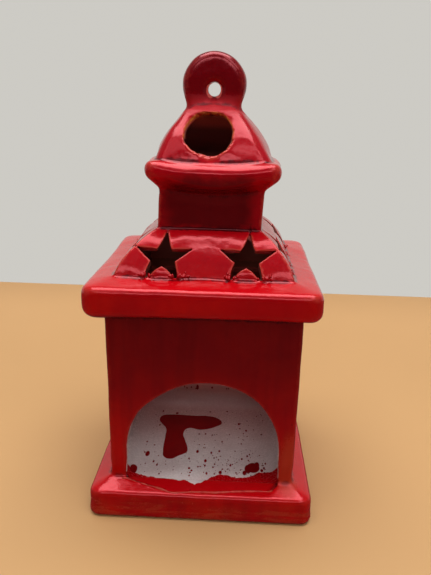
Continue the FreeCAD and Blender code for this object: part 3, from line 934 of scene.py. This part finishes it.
def fired_skin(nodes, low, high, grain, softening, elsewhere, tools):
    """One even skin over some nodes, formed as by hand."""
    obj = place_object("skin", raw_form(nodes, low - TRIM, high + TRIM))
    remesh = obj.modifiers.new("even_clay", "REMESH")
    remesh.mode = "VOXEL"
    remesh.voxel_size = grain * COARSE * MM
    shape_by(obj, tools["hand_formed"], {
        "Softening": softening, "Away from joint": elsewhere, "Edge spread": round(10 * (0.6 / grain) ** 2),
        "Slump": 0.7 * MM, "Slump size": 36.0, "Dent": 0.25 * MM, "Dent size": 130.0,
        "Knife": tools["knife"], "Glaze": tools["red"]})
    return settled(obj, "skin")


def band_of_skin(skin, planes, margin):
    """The skin between two level planes, closed at both. Only faces near the band are cut."""
    places = read(skin.vertices, "co", width=3)
    quads = read(skin.loops, "vertex_index", np.int32).reshape(-1, 4)
    middle = places[quads].mean(axis=1)
    kept = np.ones(len(quads), bool)
    for point, normal in planes:
        kept &= (middle - np.array(point)) @ np.array(normal) < margin
    used, quads = np.unique(quads[kept], return_inverse=True)
    band = mesh_of("band", places[used].tolist(), quads.reshape(-1, 4).tolist())
    for name in SKIN_VALUES:
        numbers = read(skin.attributes[name].data, "value")[used]
        band.attributes.new(name, "FLOAT", "POINT").data.foreach_set("value", numbers)
    normals = read(skin.vertices, "normal", width=3)[used].ravel()
    band.attributes.new("skin_normal", "FLOAT_VECTOR", "POINT").data.foreach_set("vector", normals)
    band.polygons.foreach_set("use_smooth", np.ones(len(band.polygons), bool))
    with opened(band) as form:
        cut_and_close(form, planes)
    return band


def side_of_band(band, side):
    """One of the four sides of a band, cut at the corners."""
    mesh = band.copy()
    with opened(mesh) as form:
        cut_and_close(form, wedge_planes(side), nested=False)
    return mesh


def keep_skin_shading(mesh):
    """Shades a cut part as the whole skin is shaded, so that no joint shows where it was cut."""
    layer = mesh.attributes["skin_normal"]
    rounded = read(layer.data, "vector", width=3)[read(mesh.loops, "vertex_index", np.int32)]
    totals = read(mesh.polygons, "loop_total", np.int32)
    flat = np.repeat(read(mesh.polygons, "normal", width=3), totals, axis=0)
    smooth = np.repeat(read(mesh.polygons, "use_smooth", bool), totals)
    mesh.attributes.remove(layer)
    mesh.normals_split_custom_set(np.where(smooth[:, None], rounded, flat).tolist())


def lay_skin(tools):
    """A glazed skin over each storey and its neighbours, cut at the joints into a piece for each part."""
    low = -1.0 * MM
    for place, (high, nodes, grain, softening, elsewhere) in enumerate(STOREYS):
        around = [node for storey in STOREYS[max(place - 1, 0):place + 2] for node in storey[1]]
        skin = fired_skin(around, low, high, grain, softening, elsewhere, tools)
        band = band_of_skin(skin, level_planes(low, high), 2.5 * grain * COARSE * MM)
        bpy.data.meshes.remove(skin)
        for node in nodes:
            side = next((name for name in SIDE_TURNS if name in node.split("_")), None)
            mesh = side_of_band(band, side) if side else band
            keep_skin_shading(mesh)
            mesh.materials.append(tools["red"])
            hand_in("glazed_" + node, mesh, "red_glaze", node)
        low = high


# The chamber floor, and the glaze that dripped on it

COVE_RADIUS = 8 * MM
COVE_BITE = 0.3 * MM
FLOOR_CELLS = 141
SHARP_EDGE = 1.2


def coved_floor():
    """A floor that turns up in a soft cove at the back and the two sides."""
    tree, given, ending = new_shaper(
        "coved_floor", {"Half width": "Float", "Cove": "Float", "Level": "Float", "Cells": "Int"})
    cove, cells = given["Cove"], given["Cells"]
    flat = given["Half width"] - cove
    size = (cove * (math.pi / 2) + flat) * 2.0
    grid = add(tree, "GeometryNodeMeshGrid",
               {"Size X": size, "Size Y": size, "Vertices X": cells, "Vertices Y": cells})
    across, along, _ = axes_of(out(add(tree, "GeometryNodeInputPosition")))

    def rolled_up(reach):
        turn = larger(reach - flat, 0.0) / cove
        return reckon("SINE", turn) * cove + smaller(reach, flat), (1.0 - reckon("COSINE", turn)) * cove

    beside, side_lift = rolled_up(abs(across))
    behind, back_lift = rolled_up(along)
    spot = out(add(tree, "ShaderNodeCombineXYZ", {
        "X": beside * reckon("SIGN", across),
        "Y": larger(behind, given["Half width"] * -1.0),
        "Z": larger(side_lift, back_lift) + given["Level"]}))
    bowl = moved_to(out(grid, "Mesh"), spot)
    merged = add(tree, "GeometryNodeMergeByDistance", {"Geometry": bowl, "Distance": 0.001 * MM})
    return end_shaper(given, ending, out(merged))


def lay_floor(tools):
    mesh = grown("glazed_chamber_floor", bpy.data.meshes.new("bowl"), coved_floor(), {
        "Half width": CHAMBER_HALF + COVE_BITE, "Cove": COVE_RADIUS, "Level": FLOOR_TOP,
        "Cells": FLOOR_CELLS, "Glaze": tools["white"]})
    with opened(mesh) as form:
        made = bmesh.ops.extrude_face_region(form, geom=form.faces[:], use_keep_orig=True)
        for item in made["geom"]:
            if isinstance(item, bmesh.types.BMVert):
                item.co.z = FLOOR_FOOT
            elif isinstance(item, bmesh.types.BMFace):
                item.smooth = False
        bmesh.ops.dissolve_degenerate(form, edges=form.edges, dist=1e-6 * MM)
        bmesh.ops.recalc_face_normals(form, faces=form.faces)
        for edge in form.edges:
            mixed = len({face.smooth for face in edge.link_faces}) > 1
            if mixed or edge.calc_face_angle(0) > SHARP_EDGE:
                edge.smooth = False
    hand_in("glazed_chamber_floor", mesh, "white_glaze", "chamber_floor")


# Outline of the spilt glaze on the chamber floor, and the drops round it, in millimetres.
SPILL = [(-26.2, 15.9), (-25.0, 20.3), (-21.2, 21.5), (-7.7, 21.4), (0.2, 21.6), (5.5, 19.5), (7.8, 14.7),
         (5.8, 12.0), (-3.2, 7.3), (-10.0, 8.3), (-12.1, 3.4), (-10.5, -4.0), (-8.8, -10.4), (-8.8, -13.9),
         (-12.4, -17.6), (-16.6, -20.6), (-19.6, -18.8), (-20.5, -14.8), (-21.1, -0.4), (-21.7, 7.3),
         (-24.4, 11.9)]
FLOOR_DROPS = [(-27.9, -17.1, 1.1), (-32.1, -15.6, 0.54), (-3.4, -13.3, 0.7), (1.0, -21.0, 0.68),
               (1.0, -24.9, 0.45), (31.0, -21.2, 1.3), (24.1, -25.0, 3.1), (21.6, -26.2, 1.6),
               (19.9, -29.4, 0.9), (33.0, -26.2, 1.0), (8.5, -29.9, 0.8), (-17.5, 23.7, 0.8),
               (10.5, 27.9, 0.53), (30.6, 19.3, 0.6), (-29.8, -6.6, 0.48), (17.2, 14.8, 0.6),
               (31.0, 8.7, 0.4), (3.3, 2.5, 0.4), (8.6, -3.5, 0.4), (26.0, -22.5, 1.2), (28.2, -26.9, 0.7),
               (-6.4, -27.6, 0.6), (13.2, -24.0, 0.5), (-22.0, -26.0, 0.45)]
WALL_DROPS = [(-7.1, 22.1, 0.73), (1.3, 22.2, 0.54), (15.9, 26.0, 0.8), (21.3, 21.4, 0.64),
              (-10.7, 21.9, 0.45)]
COVE_DROP = ((-32.2, -31.0, 12.8), 2.0, (0.44, 0, 0.9))
SPILL_THICKNESS = 0.18 * MM
DROP_THICKNESS = 0.16 * MM
LONGEST_DROP = 2.2
FLOOR_SPATTER = 300
WALL_SPATTER = 45


def drop_scatter():
    """Flattened drops of glaze on given spots, each as wide as its spot says."""
    tree, given, ending = new_shaper(
        "drop_scatter", {"Longest": "Float", "Thickness": "Float", "Fineness": "Int"})
    ball = add(tree, "GeometryNodeMeshIcoSphere", {"Radius": 1.0, "Subdivisions": given["Fineness"]})
    reach = out(add(tree, "GeometryNodeInputNamedAttribute", {"Name": "reach"}, data_type="FLOAT"))
    facing = out(add(tree, "GeometryNodeInputNamedAttribute", {"Name": "facing"}, data_type="FLOAT_VECTOR"))
    turn = add(tree, "FunctionNodeAlignRotationToVector", {"Vector": facing}, axis="Z")
    longest = {"Min": 1.0, "Max": given["Longest"], "Seed": 3}
    stretch = out(add(tree, "FunctionNodeRandomValue", longest, data_type="FLOAT"), "Value")
    size = add(tree, "ShaderNodeCombineXYZ", {"X": reach, "Y": reach * stretch, "Z": given["Thickness"]})
    drops = add(tree, "GeometryNodeInstanceOnPoints", {
        "Points": given["Geometry"], "Instance": out(ball, "Mesh"), "Rotation": out(turn),
        "Scale": out(size)})
    return end_shaper(given, ending, out(drops))


def fine_drops(chance):
    """Fine spatter on the floor, thicker towards the front right."""
    drops = []
    while len(drops) < FLOOR_SPATTER:
        x = chance.uniform(-34, 34)
        y = chance.uniform(-34, 27)
        thick = 0.16 + 0.84 * math.exp(-((x - 20) / 16) ** 2 - ((y + 27) / 11) ** 2)
        if chance.random() < thick:
            drops.append((x, y, 0.16 + 0.4 * chance.random() ** 3))
    return drops


def on_floor(drops):
    return [((x, y, FLOOR_TOP / MM), radius, (0, 0, 1)) for x, y, radius in drops]


def on_back_wall(drops):
    return [((x, CHAMBER_HALF / MM, z), radius, (0, -1, 0)) for x, z, radius in drops]


def scatter_drops(tools, name, spots, fineness):
    places, radii, ways = zip(*spots)
    mesh = mesh_of("spots", map(in_mm, places))
    mesh.attributes.new("reach", "FLOAT", "POINT").data.foreach_set("value", in_mm(radii))
    facing = [number for way in ways for number in way]
    mesh.attributes.new("facing", "FLOAT_VECTOR", "POINT").data.foreach_set("vector", facing)
    drops = grown(name, mesh, drop_scatter(), {
        "Longest": LONGEST_DROP, "Thickness": DROP_THICKNESS, "Fineness": fineness, "Glaze": tools["spilt"]})
    hand_in(name, drops, "red_glaze")


def lay_drops(tools):
    chance = random.Random(11)
    spatter = on_floor(fine_drops(chance))
    fine = [(chance.uniform(-30, 30), chance.uniform(21, 40), chance.uniform(0.15, 0.4))
            for _ in range(WALL_SPATTER)]
    drops = on_floor(FLOOR_DROPS) + on_back_wall(WALL_DROPS) + [COVE_DROP]
    scatter_drops(tools, "glaze_drops", drops, 4)
    scatter_drops(tools, "glaze_spatter", spatter + on_back_wall(fine), 2)


def lay_spill(tools):
    """A flat pool of glaze with a rounded edge."""
    curve = bpy.data.curves.new("spill", "CURVE")
    curve.dimensions = "2D"
    curve.fill_mode = "BOTH"
    curve.extrude = SPILL_THICKNESS / 2
    curve.bevel_depth = SPILL_THICKNESS / 2
    curve.bevel_resolution = 3
    curve.resolution_u = 10
    line = curve.splines.new("BEZIER")
    line.bezier_points.add(len(SPILL) - 1)
    for knot, (x, y) in zip(line.bezier_points, SPILL):
        knot.co = (x * MM, y * MM, 0)
        knot.handle_left_type = "AUTO"
        knot.handle_right_type = "AUTO"
    line.use_cyclic_u = True
    mesh = settled(place_object("spill", curve), "glaze_spill")
    mesh.transform(Matrix.Translation((0, 0, FLOOR_TOP)))
    with opened(mesh) as form:
        bmesh.ops.remove_doubles(form, verts=form.verts, dist=0.001 * MM)
        bmesh.ops.recalc_face_normals(form, faces=form.faces)
    mesh.materials.clear()
    mesh.materials.append(tools["spilt"])
    hand_in("glaze_spill", mesh, "red_glaze")


# Crumbs that the knife pushed up at the two lower points of a star, by side and hand.
CRUMBS = {("front", "left"): (16, 44), ("front", "right"): (30, 18)}
FEW_CRUMBS = (9, 9)
CRUMB_REACH = 3.0 * MM
CRUMB_ROUGHNESS = 0.5 * MM
LOWER_TIPS = (2, 3)


def crumb_scatter():
    """Rough crumbs on the clay nearest to given spots."""
    tree, given, ending = new_shaper("crumb_scatter", {"Clay": "Object", "Least": "Float", "Most": "Float"})
    spots = moved_to(given["Geometry"], nearest(tree, given["Clay"], "Position"))
    ball = add(tree, "GeometryNodeMeshIcoSphere", {"Radius": 1.0, "Subdivisions": 2})
    least_most = {"Min": given["Least"], "Max": given["Most"], "Seed": 5}
    size = add(tree, "FunctionNodeRandomValue", least_most, data_type="FLOAT")
    any_turn = {"Max": (6.3, 6.3, 6.3), "Seed": 6}
    turn = add(tree, "FunctionNodeRandomValue", any_turn, data_type="FLOAT_VECTOR")
    crumbs = add(tree, "GeometryNodeInstanceOnPoints", {
        "Points": spots, "Instance": out(ball, "Mesh"), "Rotation": out(turn, "Value"),
        "Scale": scaled((1.3, 1.0, 0.7), out(size, "Value"))})
    real = add(tree, "GeometryNodeRealizeInstances", {"Geometry": out(crumbs)})
    place = out(add(tree, "GeometryNodeInputPosition"))
    rough = (noise(place, 1500, 1) - 0.5) * CRUMB_ROUGHNESS
    lumpy = moved_to(out(real), place + scaled(out(add(tree, "GeometryNodeInputNormal")), rough))
    return end_shaper(given, ending, lumpy)


def lay_crumbs(tools):
    chance = random.Random(23)
    tree = crumb_scatter()
    for side in SIDE_TURNS:
        spots = []
        for hand, middle in STAR_MIDDLES.items():
            for tip, count in zip(LOWER_TIPS, CRUMBS.get((side, hand), FEW_CRUMBS)):
                across, rise = star_point(middle, tip, STAR_RADIUS)
                for _ in range(count):
                    beside = across + chance.gauss(0, CRUMB_REACH / 2)
                    above = rise + chance.gauss(0, CRUMB_REACH / 3)
                    spots.append(on_panel(side, beside, above, 1 * MM))
        clay = bpy.data.objects["glazed_shoulder_" + side]
        name = "knife_crumbs_" + side
        crumbs = grown(name, mesh_of("spots", spots), tree, {
            "Clay": clay, "Least": 0.22 * MM, "Most": 0.85 * MM, "Glaze": tools["red"]})
        hand_in(name, crumbs, "red_glaze")


# The ridge that the cut of the sill left on the plinth, from left to right, in millimetres.
SILL_RIDGE = [(-35.3, -42.2, 15.5), (-29.2, -42.1, 14.0), (-23, -44.2, 13.5), (-16.7, -46.3, 13),
              (-12, -47.5, 12.6), (-3.2, -46.9, 12.9), (6.8, -46.7, 13.1), (15.6, -45.4, 13.1),
              (25.7, -44.3, 13.1), (32.3, -44.4, 13.9)]
RIDGE_RADIUS = 0.55 * MM
RIDGE_STEPS = 160


def ridge_along():
    """A thin uneven ridge along a line of spots on the clay."""
    tree, given, ending = new_shaper("ridge_along", {"Clay": "Object", "Radius": "Float"})
    line = add(tree, "GeometryNodeMeshToCurve", {"Mesh": given["Geometry"]})
    bent = add(tree, "GeometryNodeCurveSplineType", {"Curve": out(line)}, spline_type="CATMULL_ROM")
    even = add(tree, "GeometryNodeResampleCurve", {"Curve": out(bent), "Count": RIDGE_STEPS})
    laid = moved_to(out(even), nearest(tree, given["Clay"], "Position"))
    place = out(add(tree, "GeometryNodeInputPosition"))
    swell = ramp(noise(place, 160, 3), 0.3, 0.7, 0.4, 1.3)
    ring = add(tree, "GeometryNodeCurvePrimitiveCircle", {"Resolution": 12, "Radius": given["Radius"]})
    rod = add(tree, "GeometryNodeCurveToMesh", {
        "Curve": laid, "Profile Curve": out(ring, "Curve"), "Scale": swell, "Fill Caps": True})
    worn = ramp(noise(place, 300, 3), 0.35, 0.6, 0.15, 0.8)
    return end_shaper(given, ending, store(out(rod), "worn_edge", worn))


def lay_ridge(tools):
    pairs = [(place, place + 1) for place in range(len(SILL_RIDGE) - 1)]
    line = mesh_of("line", map(in_mm, SILL_RIDGE), edges=pairs)
    clay = bpy.data.objects["glazed_base_plinth"]
    ridge = grown("sill_ridge", line, ridge_along(), {
        "Clay": clay, "Radius": RIDGE_RADIUS, "Glaze": tools["red"]})
    hand_in("sill_ridge", ridge, "red_glaze")


set_camera()
set_stage()
set_lamps()
set_room()
effects = {"mottling": glaze_mottling(), "thickness": glaze_thickness(), "marks": painted_shade_and_rubbing(),
           "white": white_inside()}
tools = {"red": red_glaze(effects), "white": white_glaze(effects), "spilt": spilt_glaze(effects),
         "hand_formed": hand_formed(), "knife": knife_blades()}
lay_skin(tools)
lay_floor(tools)
lay_spill(tools)
lay_drops(tools)
lay_crumbs(tools)
lay_ridge(tools)
bpy.data.objects.remove(tools["knife"])
